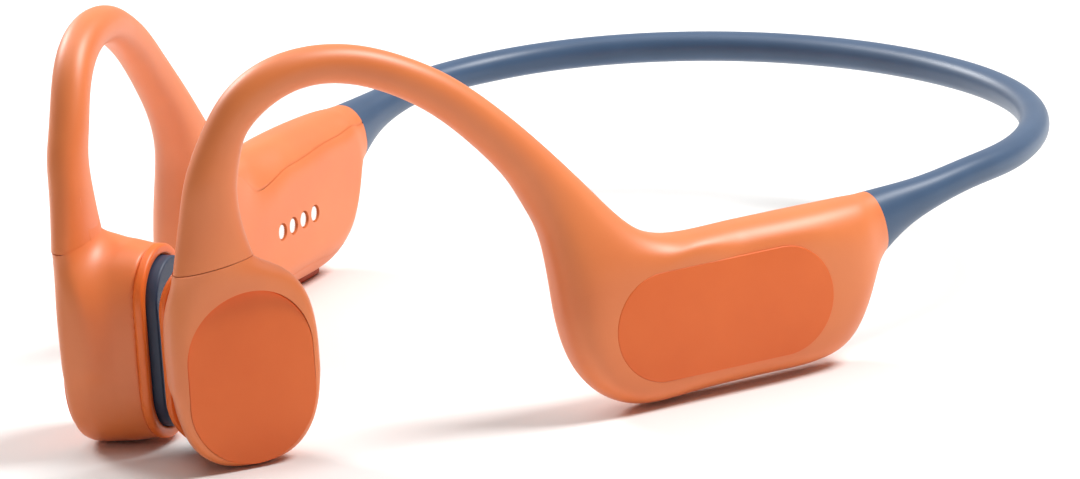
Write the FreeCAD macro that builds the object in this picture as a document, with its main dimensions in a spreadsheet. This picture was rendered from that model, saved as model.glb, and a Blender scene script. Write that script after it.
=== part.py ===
# Bone conduction headphones: two hooked speaker sides joined by a springy neckband.
# Millimetres. X points to the wearer's left, Y to the back, Z up. The origin lies on the
# surface that the headphones stand on, midway between their front and back.
import FreeCAD, Part
import Sketcher
import math
import os

vec = FreeCAD.Vector
doc = FreeCAD.newDocument("Headphones")
sheet = doc.addObject("Spreadsheet::Sheet", "Sizes")
nodes = []

sizes = {
    # overall
    "head_width": 87.2, "band_back": 63.74, "hook_top": 46.8, "band_level": 17.2,
    # neckband
    "sleeve_diameter": 3.6, "wire_diameter": 1.0, "cable_diameter": 0.9, "strand_pitch": 1.25,
    "strand_gap": 0.06, "strand_start": 12.6, "strand_level": 3.2,
    # pods beside the ear's back
    "pod_thickness": 10.4, "pod_reach": 8.0, "pod_angle": 17.5, "pod_middle": 9.6,
    "outer_plane": 4.5, "seam_plane": 3.8, "inner_plane": 4.33,
    "cavity_length": 31.0, "cavity_height": 14.0, "cavity_outer": 2.6, "cavity_shift": 0.5,
    "plate_length": 28.3, "plate_height": 12.8, "plate_thickness": 1.0,
    "plug_depth": 1.0, "fit_gap": 0.08,
    # speaker cases
    "case_angle": 21.8, "case_reach": 54.7, "case_inset": 4.2, "case_middle": 11.7,
    "case_height": 23.2, "case_width": 17.6, "case_depth": 9.3, "rim_height": 22.4,
    "rim_width": 12.4, "rim_depth": 1.2, "rim_proud": 0.7, "lip_width": 1.25,
    "facet_height": 20.2, "facet_width": 15.4, "facet_drop": 1.15, "facet_back": 0.5,
    "facet_thickness": 1.0, "key_travel": 0.25, "key_clearance": 0.1,
    "chamber_height": 18.6, "chamber_width": 8.8, "chamber_depth": 6.3,
    "pad_proud": 1.2, "pad_bevel": 0.5, "gasket_thickness": 0.6, "gasket_width": 1.4,
    # bone conduction transducer
    "yoke_height": 15.4, "yoke_width": 8.2, "yoke_depth": 4.4, "yoke_wall": 0.6, "yoke_floor": 1.0,
    "magnet_height": 11.0, "magnet_width": 4.4, "magnet_depth": 2.4, "coil_wall": 0.7,
    "coil_depth": 2.6, "coil_gap": 0.3, "leaf_thickness": 0.3, "leaf_seat": 0.2,
    # electronics
    "cell_length": 24.0, "cell_height": 10.0, "cell_thickness": 4.2, "board_length": 25.0,
    "board_height": 10.6, "board_thickness": 0.8, "chip_size": 5.0, "chip_thickness": 0.9,
    "mic_width": 2.4, "mic_height": 1.0, "mic_depth": 2.6, "switch_radius": 1.8,
    "switch_height": 0.8,
    # charging contacts
    "contact_diameter": 2.0, "contact_length": 2.2, "contact_pitch": 2.8, "contact_recess": 0.5,
    "contact_place": 3.7,
    "port_magnet_diameter": 2.5, "port_magnet_pitch": 15.0, "port_magnet_depth": 1.2,
    # volume buttons
    "button_length": 6.0, "button_width": 2.4, "button_gap": 0.1, "button_proud": 0.7,
    "button_travel": 0.3, "button_pitch": 8.5, "button_place": 11.5, "flange_margin": 0.5,
    "flange_thickness": 0.6,
}


def fill_sheet():
    """Writes each driving size into a cell and names the cell."""
    for row, (name, value) in enumerate(sizes.items(), start=1):
        sheet.set("A%d" % row, name)
        sheet.set("B%d" % row, str(value))
        sheet.setAlias("B%d" % row, name)
    doc.recompute()


def size(name):
    """A driving size, read back from the sheet."""
    return float(getattr(sheet, name))


fill_sheet()

# The side view of a hook and its pod, from the front seam over the ear to the neckband seam:
# x of the middle, inner edge y and z, outer edge y and z, half thickness, heading in degrees.
seamLevel = 24.5
archStations = [
    (10.9, -55.8, 24.5, -64.8, 23.5, 2.2, 21.0),
    (11.1, -57.1, 29.2, -63.5, 30.4, 2.2, 23.0),
    (11.4, -57.4, 32.9, -62.8, 33.8, 2.2, 25.0),
    (11.8, -56.8, 36.3, -61.5, 37.0, 2.2, 27.0),
    (12.9, -55.8, 39.0, -58.8, 42.2, 2.2, 28.5),
    (14.3, -53.9, 41.0, -56.1, 45.1, 2.2, 29.0),
    (16.1, -51.0, 42.5, -52.4, 46.8, 2.2, 29.0),
    (19.6, -45.3, 42.3, -44.8, 46.7, 2.2, 29.0),
    (22.3, -41.2, 40.4, -39.7, 44.6, 2.2, 28.5),
    (24.6, -37.2, 37.4, -35.0, 41.5, 2.25, 28.0),
    (26.6, -33.6, 33.6, -30.5, 37.3, 2.3, 26.0),
    (28.5, -29.8, 28.6, -25.5, 31.8, 2.6, 23.5),
]
podStations = [
    (29.9, -28.0, 24.8, -21.1, 26.4, 3.0, 21.0),
    (31.1, -26.9, 21.1, -17.9, 22.3, 3.6, 19.0),
    (32.2, -26.5, 15.2, -14.9, 19.8, 4.3, 17.8),
    (32.9, -26.2, 10.5, -12.6, 19.1, 4.7, 17.5),
    (33.8, -24.8, 5.5, -10.8, 19.0, 5.0, 17.5),
    (34.6, -21.8, 2.0, -9.3, 19.0, 5.2, 17.5),
    (36.3, -11.4, 0.5, -5.1, 18.9, 5.2, 17.5),
    (38.5, -0.3, 0.7, -1.9, 18.9, 5.2, 17.5),
    (40.0, 4.6, 0.9, 4.2, 18.8, 5.2, 17.3),
    (41.1, 9.0, 2.6, 8.9, 18.7, 4.8, 16.0),
    (41.6, 11.4, 6.0, 11.0, 18.6, 4.2, 14.5),
    (42.0, 14.0, 10.3, 12.8, 18.5, 3.1, 12.5),
    (42.1, 15.0, 11.1, 13.8, 18.5, 2.8, 12.0),
]
podPowers = [2.2, 2.4, 2.6, 2.8, 3.0, 3.0, 3.0, 3.0, 3.0, 2.8, 2.6, 2.3, 2.2]
sectionPowers = [2.15] * len(archStations) + podPowers
# The neck that runs from the hook down into a case: fall from the case's top, inset from its outer
# face, place ahead of its middle, half width, half thickness and roundness of each section.
neckSections = [
    (1.5, 1.3, 1.4, 6.4, 2.5, 2.3),
    (5.8, 2.5, 0.4, 8.0, 2.5, 2.5),
    (13.0, 3.2, 0.0, 7.9, 2.4, 2.5),
]
casePower = 2.7
ringCount = 16
skinTolerance = 1e-5
arcShare = 0.45
strandReach = 8.0
boreReach = 9.0
contactCount = 4
nominalWidth = 87.2
nominalTop = 46.8


def station(side, row):
    """Centre, upward axis, sideways axis, half height and half thickness of one section."""
    x, innerY, innerZ, outerY, outerZ, halfThick, heading = row
    turn = math.radians(heading)
    stretch = (size("hook_top") - seamLevel) / (nominalTop - seamLevel)
    innerZ = seamLevel + (innerZ - seamLevel) * stretch if innerZ > seamLevel else innerZ
    outerZ = seamLevel + (outerZ - seamLevel) * stretch if outerZ > seamLevel else outerZ
    x = x * size("head_width") / nominalWidth
    across = outerY - innerY
    rise = vec(side * across * math.tan(turn), across, outerZ - innerZ)
    centre = vec(side * x, (innerY + outerY) / 2, (innerZ + outerZ) / 2)
    sideways = vec(side * math.cos(turn), -math.sin(turn), 0)
    halfHeight = rise.Length / 2
    return centre, rise.normalize(), sideways, halfHeight, halfThick


def section(centre, up, sideways, halfHeight, halfThick, power):
    """Points round a superellipse of the given power in the plane of up and sideways."""
    points = []
    for step in range(ringCount):
        angle = 2 * math.pi * step / ringCount
        high = math.copysign(abs(math.cos(angle)) ** (2 / power), math.cos(angle))
        wide = math.copysign(abs(math.sin(angle)) ** (2 / power), math.sin(angle))
        points.append(centre + up * (halfHeight * high) + sideways * (halfThick * wide))
    return points


def loft(rings):
    """A solid with flat ends whose smooth skin passes through every ring of points."""
    around = Part.BSplineCurve()
    turns = [step / ringCount for step in range(ringCount + 1)]
    poleRings = []
    for points in rings:
        around.interpolate(Points=points, PeriodicFlag=True, Parameters=turns)
        poleRings.append(around.getPoles())
    along = [0.0]
    for before, after in zip(rings, rings[1:]):
        gaps = [(b - a).Length for a, b in zip(before, after)]
        along.append(along[-1] + sum(gaps) / ringCount)
    columns = []
    for index in range(len(poleRings[0])):
        column = Part.BSplineCurve()
        column.interpolate(Points=[poles[index] for poles in poleRings], Parameters=along)
        columns.append(column)
    first = columns[0]
    grid = [[column.getPole(row + 1) for column in columns] for row in range(first.NbPoles)]
    surface = Part.BSplineSurface()
    surface.buildFromPolesMultsKnots(grid, first.getMultiplicities(), around.getMultiplicities(),
                                     first.getKnots(), around.getKnots(), False, True, first.Degree,
                                     around.Degree)
    skin = surface.toShape()
    ends = [Part.Face(Part.Wire([edge])) for edge in skin.Edges if edge.isClosed()]
    shell = Part.Shell([skin] + ends)
    shell.sewShape()
    solid = Part.Solid(shell)
    solid.fix(skinTolerance, skinTolerance, skinTolerance)
    if not solid.isValid():
        raise ValueError("a skin does not close")
    if solid.Volume < 0:
        solid.reverse()
    return solid


def rounded_path(points):
    """A wire of straight runs between the points, joined by arcs tangent to them."""
    edges = []
    start = points[0]
    for before, corner, after in zip(points, points[1:], points[2:]):
        back = before - corner
        ahead = after - corner
        reach = arcShare * min(back.Length, ahead.Length)
        half = back.getAngle(ahead) / 2
        enter = corner + back.normalize() * reach
        leave = corner + ahead.normalize() * reach
        inward = (back + ahead).normalize() * (reach / math.cos(half) - reach * math.tan(half))
        edges.append(Part.LineSegment(start, enter).toShape())
        edges.append(Part.Arc(enter, corner + inward, leave).toShape())
        start = leave
    edges.append(Part.LineSegment(start, points[-1]).toShape())
    return Part.Wire(edges)


def tube(points, radius):
    """A round rod that follows the points."""
    profile = Part.Wire([Part.makeCircle(radius, points[0], points[1] - points[0])])
    return rounded_path(points).makePipeShell([profile], True, False)


def keep(label, shape):
    """A finished piece whose shape no feature of a workbench makes."""
    piece = doc.addObject("Part::Feature", label)
    piece.Shape = shape
    piece.Placement = FreeCAD.Placement()
    piece.Label = label
    nodes.append(piece)
    return piece


def axes_frame(origin, outward, up):
    """A placement whose Z points outward and whose Y points up."""
    return FreeCAD.Placement(origin, FreeCAD.Rotation(up.cross(outward), up, outward, "ZXY"))


def pod_frame(side):
    """Middle plane of a pod: X along the pod, Y up, Z away from the head."""
    turn = math.radians(size("pod_angle"))
    outward = vec(side * math.cos(turn), -math.sin(turn), 0)
    x = 36.4 * size("head_width") / nominalWidth
    return axes_frame(vec(side * x, -size("pod_reach"), size("pod_middle")), outward, vec(0, 0, 1))


def case_frame(side):
    """Rim plane of a speaker case: Y up, Z away from the head."""
    turn = math.radians(size("case_angle"))
    outward = vec(side * math.cos(turn), -math.sin(turn), 0)
    origin = vec(side * size("case_inset"), -size("case_reach"), size("case_middle"))
    return axes_frame(origin, outward, vec(0, 0, 1))


def facet_frame(side):
    """The case's frame moved back to the middle of its outer plate."""
    return case_frame(side) * FreeCAD.Placement(vec(side * size("facet_back"), 0, 0), FreeCAD.Rotation())


def slot_sketch(body, name, length, width, offset, upright, shift="0"):
    """A round-ended slot on the body's XY plane: its sizes and height are expressions."""
    sketch = body.newObject("Sketcher::SketchObject", name)
    plane = [f for f in body.Origin.OriginFeatures if f.Role == "XY_Plane"][0]
    sketch.AttachmentSupport = [(plane, "")]
    sketch.MapMode = "FlatFace"
    turn = 90 if upright else 0
    sketch.AttachmentOffset = FreeCAD.Placement(vec(0, 0, 0), FreeCAD.Rotation(vec(0, 0, 1), turn))
    sketch.setExpression("AttachmentOffset.Base.z", offset)
    sketch.setExpression("AttachmentOffset.Base.%s" % ("y" if upright else "x"), shift)
    half = 5.0
    radius = 3.0
    quarter = math.pi / 2
    rightEnd = Part.Circle(vec(half, 0, 0), vec(0, 0, 1), radius)
    leftEnd = Part.Circle(vec(-half, 0, 0), vec(0, 0, 1), radius)
    sketch.addGeometry(Part.LineSegment(vec(-half, radius, 0), vec(half, radius, 0)))
    sketch.addGeometry(Part.ArcOfCircle(rightEnd, -quarter, quarter))
    sketch.addGeometry(Part.LineSegment(vec(half, -radius, 0), vec(-half, -radius, 0)))
    sketch.addGeometry(Part.ArcOfCircle(leftEnd, quarter, 3 * quarter))
    for ends in ((0, 2, 1, 2), (1, 1, 2, 1), (2, 2, 3, 2), (3, 1, 0, 1)):
        sketch.addConstraint(Sketcher.Constraint("Tangent", *ends))
    sketch.addConstraint(Sketcher.Constraint("Horizontal", 0))
    sketch.addConstraint(Sketcher.Constraint("Equal", 1, 3))
    sketch.addConstraint(Sketcher.Constraint("Symmetric", 1, 3, 3, 3, -1, 1))
    radiusIndex = sketch.addConstraint(Sketcher.Constraint("Radius", 1, radius))
    spanIndex = sketch.addConstraint(Sketcher.Constraint("DistanceX", 3, 3, 1, 3, 2 * half))
    sketch.setExpression("Constraints[%d]" % spanIndex, "(%s) - (%s)" % (length, width))
    sketch.setExpression("Constraints[%d]" % radiusIndex, "(%s) / 2" % width)
    return sketch


def slot_body(label, frame, length, width, start, depth, upright, shift="0"):
    """A PartDesign body with one round-ended slab, placed in a pod's or a case's frame."""
    body = doc.addObject("PartDesign::Body", label)
    body.Label = label
    sketch = slot_sketch(body, label + "_outline", length, width, start, upright, shift)
    pad = body.newObject("PartDesign::Pad", label + "_pad")
    pad.Profile = sketch
    pad.setExpression("Length", depth)
    body.Placement = frame
    doc.recompute()
    return body


def pocket_slot(body, length, width, start, depth, upright):
    """Cuts a round-ended pocket that starts at a height and runs inward by the depth."""
    name = body.Label + "_hollow"
    sketch = slot_sketch(body, name + "_outline", length, width, start, upright)
    pocket = body.newObject("PartDesign::Pocket", name)
    pocket.Profile = sketch
    pocket.setExpression("Length", depth)
    before = body.Shape.Volume
    doc.recompute()
    if body.Shape.Volume >= before:
        raise ValueError(name + " cuts nothing")


def bevel(body, height, expression):
    """Chamfers the edges of the body that lie at a height in its own frame."""
    local = body.Shape.copy()
    local.Placement = FreeCAD.Placement()
    rims = []
    for index, edge in enumerate(local.Edges, start=1):
        box = edge.BoundBox
        if abs(box.ZMin - height) < 1e-4 and abs(box.ZMax - height) < 1e-4:
            rims.append("Edge%d" % index)
    base = body.Tip
    chamfer = body.newObject("PartDesign::Chamfer", body.Label + "_bevel")
    chamfer.Base = (base, rims)
    chamfer.setExpression("Size", expression)
    doc.recompute()


def finish(body):
    """Counts a body as a finished piece."""
    nodes.append(body)
    return body


def block(label, frame, length, height, thickness, middle):
    """A Part::Box centred on a point of a frame, its sizes bound to the sheet."""
    box = doc.addObject("Part::Box", label)
    box.Label = label
    box.setExpression("Length", length)
    box.setExpression("Width", height)
    box.setExpression("Height", thickness)
    doc.recompute()
    corner = vec(box.Length.Value / 2, box.Width.Value / 2, box.Height.Value / 2)
    box.Placement = frame * FreeCAD.Placement(middle - corner, FreeCAD.Rotation())
    nodes.append(box)
    return box


def disc(label, frame, diameter, height, base):
    """A Part::Cylinder whose axis is the frame's Z, its sizes bound to the sheet."""
    cylinder = doc.addObject("Part::Cylinder", label)
    cylinder.Label = label
    cylinder.setExpression("Radius", "(%s) / 2" % diameter)
    cylinder.setExpression("Height", height)
    cylinder.Placement = frame * FreeCAD.Placement(base, FreeCAD.Rotation())
    return cylinder


def group(label, members):
    """Several separate solids in one node."""
    compound = doc.addObject("Part::Compound", label)
    compound.Label = label
    compound.Links = members
    nodes.append(compound)
    return compound


def band_points(side):
    """The neckband's middle line on one side, from the pod's seam to the middle of the back."""
    width = size("head_width") / 2
    back = size("band_back")
    level = size("band_level")
    x = 42.0 * size("head_width") / nominalWidth
    points = [vec(side * x, 14.4, 14.8),
              vec(side * (x + 0.6), 17.5, 15.7),
              vec(side * (x + 1.2), 21.5, 16.4)]
    centreY = 29.0
    power = 2.15
    for step in range(9):
        angle = math.radians(step * 90 / 8)
        points.append(vec(side * width * math.cos(angle) ** (2 / power),
                          centreY + (back - centreY) * math.sin(angle) ** (2 / power),
                          level + 0.5 * step / 8))
    return points


def band_route(reach):
    """The whole middle line from the left pod to the right one, reaching on into each pod."""
    left = band_points(1)
    right = band_points(-1)
    inward = (left[0] - left[1]).normalize() * reach
    left[0] = left[0] + inward
    right[0] = right[0] + vec(-inward.x, inward.y, inward.z)
    return left + right[-2::-1]


def raised(points, height):
    """The same points moved up."""
    return [point + vec(0, 0, height) for point in points]


def hook_route(side, rise):
    """A strand's line from the pod's hollow over the ear and down into the speaker case."""
    frame = pod_frame(side)
    backward = frame.Rotation.multVec(vec(side, 0, 0))
    start = vec(-side * size("strand_start"), size("strand_level"), 0)
    route = [frame.multVec(start) + backward * rise]
    for row in (archStations + podStations[:3])[::-1]:
        centre, up, sideways, halfHeight, halfThick = station(side, row)
        route.append(centre + up * rise)
    seam = station(side, archStations[0])[0]
    if rise > 0:
        return route + [seam + vec(0, -0.4 - rise / 2, -2.7)]
    inChamber = size("rim_depth") - size("rim_proud") + size("chamber_depth") - 0.5
    chamberTop = case_frame(side).multVec(vec(side * -1.1, size("chamber_height") / 2 - 1.1, inChamber))
    return route + [seam + vec(-side * 0.3, 1.2, -2.4), chamberTop]


def hook_bores(side):
    """The two holes that a hook's wire and lead run in."""
    strand = size("strand_pitch") / 2
    gap = size("strand_gap")
    return [tube(hook_route(side, strand), size("wire_diameter") / 2 + gap),
            tube(hook_route(side, -strand), size("cable_diameter") / 2 + gap)]


def pod_slab(side, low, high):
    """A slab across a pod between two distances from its middle plane."""
    slab = Part.makeBox(60, 24, high - low, vec(-20.5, -12, low))
    slab.Placement = pod_frame(side)
    return slab


def build_hook(side, name):
    """The overmoulded hook and pod shell with its wire, lead and outer plate; returns the cover."""
    frame = pod_frame(side)
    skin = loft([section(*station(side, row), power)
                 for row, power in zip(archStations + podStations, sectionPowers)])
    shift = "%d * Sizes.cavity_shift" % side
    outside = pod_slab(side, size("outer_plane"), 20)
    inside = pod_slab(side, -20, -size("seam_plane"))
    hollow = slot_body(name + "_hollow", frame, "Sizes.cavity_length", "Sizes.cavity_height",
                       "-Sizes.seam_plane - 1", "Sizes.cavity_outer + Sizes.seam_plane + 1", False, shift)
    seat = slot_body(name + "_seat", frame, "Sizes.plate_length", "Sizes.plate_height",
                     "Sizes.outer_plane - Sizes.plate_thickness", "Sizes.plate_thickness + 2", False)
    shell = skin.cut([outside, inside]).cut([hollow.Shape, seat.Shape] + hook_bores(side) + band_bores())
    strand = size("strand_pitch") / 2
    keep(name + "_hook_wire", tube(hook_route(side, strand), size("wire_diameter") / 2))
    keep(name + "_hook_lead", tube(hook_route(side, -strand), size("cable_diameter") / 2))
    finish(slot_body(name + "_pod_outer_plate", frame, "Sizes.plate_length - 2 * Sizes.fit_gap",
                     "Sizes.plate_height - 2 * Sizes.fit_gap", "Sizes.outer_plane - Sizes.plate_thickness",
                     "Sizes.plate_thickness", False))
    plug = slot_body(name + "_plug", frame, "Sizes.cavity_length - 2 * Sizes.fit_gap",
                     "Sizes.cavity_height - 2 * Sizes.fit_gap", "-Sizes.seam_plane - 0.2",
                     "Sizes.plug_depth + 0.2", False, shift)
    cover = skin.common(pod_slab(side, -size("inner_plane"), -size("seam_plane"))).fuse(plug.Shape)
    return shell, cover


def band_bores():
    """The two holes through the sleeve and the pods' rear ends for the wire and cable."""
    strand = size("strand_pitch") / 2
    gap = size("strand_gap")
    return [tube(raised(band_route(boreReach), strand), size("wire_diameter") / 2 + gap),
            tube(raised(band_route(boreReach), -strand), size("cable_diameter") / 2 + gap)]


def build_neckband():
    """The soft sleeve with its flared ends, and the wire and cable that run through it."""
    strand = size("strand_pitch") / 2
    radius = size("sleeve_diameter") / 2
    points = band_route(0)
    rings = []
    last = len(points) - 1
    seam = {side: station(side, podStations[-1]) for side in (1, -1)}
    for index, point in enumerate(points):
        ahead = points[min(index + 1, last)] - points[max(index - 1, 0)]
        near = min(index, last - index)
        centre, up, sideways, halfHeight, halfThick = seam[1 if index <= last / 2 else -1]
        share = (1.0, 0.55, 0.2)[near] if near < 3 else 0.0
        high = radius + (halfHeight - radius) * share
        wide = radius + (halfThick - radius) * share
        if near == 0:
            rings.append(section(centre, up, sideways, high, wide, 2.2))
            continue
        flat = vec(ahead.y, -ahead.x, 0).normalize()
        rings.append(section(point, ahead.cross(flat).normalize() * -1, flat, high, wide, 2.1))
    sleeve = loft(rings)
    keep("neckband_sleeve", sleeve.cut(band_bores()))
    keep("neckband_wire", tube(raised(band_route(strandReach), strand), size("wire_diameter") / 2))
    keep("neckband_cable", tube(raised(band_route(strandReach), -strand), size("cable_diameter") / 2))


def case_section(side, height, width, tall, drop, back):
    """A rounded outline at a height over the rim plane of a speaker case."""
    frame = case_frame(side)
    spin = frame.Rotation
    centre = frame.multVec(vec(side * back, -drop, height))
    up = spin.multVec(vec(0, 1, 0))
    sideways = spin.multVec(vec(1, 0, 0))
    return section(centre, up, sideways, tall / 2, width / 2, casePower)


def build_case(side, name):
    """The speaker case: a rounded box that tapers to the rim, with the neck of the hook on top."""
    frame = case_frame(side)
    depth = size("case_depth")
    tall = size("case_height")
    wide = size("case_width")
    start = size("rim_depth") - size("rim_proud")
    back = size("facet_back")
    box = loft([
        case_section(side, start, size("rim_width") - 0.6, size("rim_height") - 0.5, 0, 0),
        case_section(side, depth * 0.33, wide * 0.76, tall - 0.4, 0, 0),
        case_section(side, depth * 0.67, wide * 0.92, tall, 0, back / 2),
        case_section(side, depth * 0.88, wide, tall - 0.2, 0, back),
        case_section(side, depth, wide * 0.94, tall - 1.6, 0.8, back)])
    outward = frame.Rotation.multVec(vec(0, 0, 1))
    forward = vec(0, 0, 1).cross(outward) * -side
    rings = [section(*station(side, archStations[0]), sectionPowers[0])]
    for fall, inset, ahead, halfWide, halfThick, power in neckSections:
        middle = frame.multVec(vec(0, tall / 2 - fall, depth - inset)) + forward * ahead
        rings.append(section(middle, forward, outward, halfWide, halfThick, power))
    neck = loft(rings)
    seat = slot_body(name + "_plate_seat", facet_frame(side), "Sizes.facet_height", "Sizes.facet_width",
                     seatFloor, "Sizes.facet_thickness + 3", True, "-Sizes.facet_drop")
    chamber = slot_body(name + "_chamber", frame, "Sizes.chamber_height", "Sizes.chamber_width",
                        "0", caseFront + " + Sizes.chamber_depth", True)
    return box.fuse(neck).cut(hook_bores(side) + [seat.Shape, chamber.Shape])


# Heights over the rim plane, as expressions of the sheet's cells.
seatFloor = "Sizes.case_depth - Sizes.facet_thickness - Sizes.key_travel - Sizes.key_clearance"
caseFront = "Sizes.rim_depth - Sizes.rim_proud"
yokeStart = caseFront + " + Sizes.leaf_seat + Sizes.leaf_thickness + 0.6"


def build_pad(side, name):
    """The lip ring on the case's rim, the gasket inside it and the pad that touches the cheek."""
    frame = case_frame(side)
    ring = slot_body(name + "_speaker_rim", frame, "Sizes.rim_height", "Sizes.rim_width",
                     "-Sizes.rim_proud", "Sizes.rim_depth", True)
    pocket_slot(ring, "Sizes.rim_height - 2 * Sizes.lip_width", "Sizes.rim_width - 2 * Sizes.lip_width",
                caseFront, "Sizes.rim_depth", True)
    finish(ring)
    tall = "Sizes.rim_height - 2 * Sizes.lip_width - 2 * Sizes.fit_gap"
    wide = "Sizes.rim_width - 2 * Sizes.lip_width - 2 * Sizes.fit_gap"
    gasket = slot_body(name + "_speaker_gasket", frame, tall, wide,
                       caseFront + " - Sizes.gasket_thickness", "Sizes.gasket_thickness", True)
    pocket_slot(gasket, tall + " - 2 * Sizes.gasket_width", wide + " - 2 * Sizes.gasket_width",
                caseFront, "Sizes.gasket_thickness", True)
    finish(gasket)
    pad = slot_body(name + "_speaker_pad", frame, tall, wide, "-Sizes.rim_proud - Sizes.pad_proud",
                    "Sizes.pad_proud + Sizes.rim_depth - Sizes.gasket_thickness", True)
    bevel(pad, -size("rim_proud") - size("pad_proud"), "Sizes.pad_bevel")
    finish(pad)


def build_transducer(side, name):
    """The spring plate, voice coil, magnet and steel yoke that shake the pad."""
    frame = case_frame(side)
    finish(slot_body(name + "_spring_plate", frame, "Sizes.chamber_height - 0.4",
                     "Sizes.chamber_width - 0.4", caseFront + " + Sizes.leaf_seat",
                     "Sizes.leaf_thickness", True))
    innerTall = "Sizes.magnet_height + 2 * Sizes.coil_gap"
    innerWide = "Sizes.magnet_width + 2 * Sizes.coil_gap"
    coilStart = caseFront + " + Sizes.leaf_seat + Sizes.leaf_thickness"
    coil = slot_body(name + "_voice_coil", frame, innerTall + " + 2 * Sizes.coil_wall",
                     innerWide + " + 2 * Sizes.coil_wall", coilStart, "Sizes.coil_depth", True)
    pocket_slot(coil, innerTall, innerWide, coilStart + " + Sizes.coil_depth", "Sizes.coil_depth", True)
    finish(coil)
    yokeTop = yokeStart + " + Sizes.yoke_depth - Sizes.yoke_floor"
    yoke = slot_body(name + "_magnet_yoke", frame, "Sizes.yoke_height", "Sizes.yoke_width",
                     yokeStart, "Sizes.yoke_depth", True)
    pocket_slot(yoke, "Sizes.yoke_height - 2 * Sizes.yoke_wall", "Sizes.yoke_width - 2 * Sizes.yoke_wall",
                yokeTop, "Sizes.yoke_depth - Sizes.yoke_floor", True)
    finish(yoke)
    finish(slot_body(name + "_drive_magnet", frame, "Sizes.magnet_height", "Sizes.magnet_width",
                     yokeTop + " - Sizes.magnet_depth", "Sizes.magnet_depth", True))


def button_frame(side, place):
    """Underside of a pod: Z down, X along the pod, at the button's tip."""
    frame = pod_frame(side)
    outward = frame.Rotation.multVec(vec(0, 0, 1))
    base = frame.multVec(vec(side * place, -size("pod_middle"), 0))
    return axes_frame(base, vec(0, 0, -1), outward * side)


def build_buttons(side):
    """The two volume buttons with their wells in the shell and the switches above them."""
    wells = []
    switches = []
    places = {"volume_up_button": size("button_place"),
              "volume_down_button": size("button_place") - size("button_pitch")}
    flange = ("Sizes.button_length + 2 * Sizes.flange_margin",
              "Sizes.button_width + 2 * Sizes.flange_margin")
    for name, place in places.items():
        frame = button_frame(side, place)
        well = slot_body(name + "_well", frame, flange[0] + " + 2 * Sizes.button_gap",
                         flange[1] + " + 2 * Sizes.button_gap", "-6.5", "4.5", False)
        guide = slot_body(name + "_guide", frame, "Sizes.button_length + 2 * Sizes.button_gap",
                          "Sizes.button_width + 2 * Sizes.button_gap", "-2.1", "3.1", False)
        wells += [well.Shape, guide.Shape]
        cap = slot_body(name, frame, "Sizes.button_length", "Sizes.button_width", "-2.2", "2.2", False)
        sketch = slot_sketch(cap, name + "_flange", *flange, "-2.1 - Sizes.flange_thickness", False)
        pad = cap.newObject("PartDesign::Pad", name + "_flange_pad")
        pad.Profile = sketch
        pad.setExpression("Length", "Sizes.flange_thickness")
        doc.recompute()
        finish(cap)
        top = 2.1 + size("flange_thickness") + size("button_travel") + 0.05 + size("switch_height")
        switches.append(disc(name + "_switch", frame, "Sizes.button_width + 0.4", "Sizes.switch_height",
                             vec(0, 0, -top)))
    group("volume_switches", switches)
    return wells


def build_electronics():
    """The battery in the left pod; the circuit board and charging port in the right pod."""
    left = pod_frame(1)
    right = pod_frame(-1)
    plugFace = -size("seam_plane") + size("plug_depth")
    cellMiddle = plugFace + 0.2 + size("cell_thickness") / 2
    block("battery_cell", left, "Sizes.cell_length", "Sizes.cell_height", "Sizes.cell_thickness",
          vec(1.5, 0, cellMiddle))
    ceiling = size("cavity_outer") - 0.1 - size("board_thickness") / 2
    block("battery_board", left, "Sizes.board_length * 0.6", "Sizes.board_height * 0.8",
          "Sizes.board_thickness", vec(0, 0, ceiling))
    block("main_board", right, "Sizes.board_length", "Sizes.board_height", "Sizes.board_thickness",
          vec(-1, 0, ceiling))
    chipMiddle = ceiling - size("board_thickness") / 2 - size("chip_thickness") / 2
    block("bluetooth_chip", right, "Sizes.chip_size", "Sizes.chip_size", "Sizes.chip_thickness",
          vec(4, 0.5, chipMiddle))
    place = -size("contact_place")
    pins = []
    holes = []
    face = -size("inner_plane") + size("contact_recess")
    for index in range(contactCount):
        spot = place + (index - (contactCount - 1) / 2) * size("contact_pitch")
        pins.append(disc("contact_%d" % index, right, "Sizes.contact_diameter", "Sizes.contact_length",
                         vec(spot, -0.4, face)))
        hole = Part.makeCylinder(size("contact_diameter") / 2 + 0.02, 6, vec(spot, -0.4, -7))
        hole.Placement = right
        holes.append(hole)
    group("charging_contacts", pins)
    magnets = []
    for end in (-1, 1):
        spot = place + end * size("port_magnet_pitch") / 2
        magnets.append(disc("port_magnet_%d" % (end + 1), right, "Sizes.port_magnet_diameter",
                            "Sizes.port_magnet_depth", vec(spot, -0.4, plugFace + 0.05)))
    group("port_magnets", magnets)
    return holes


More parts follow.
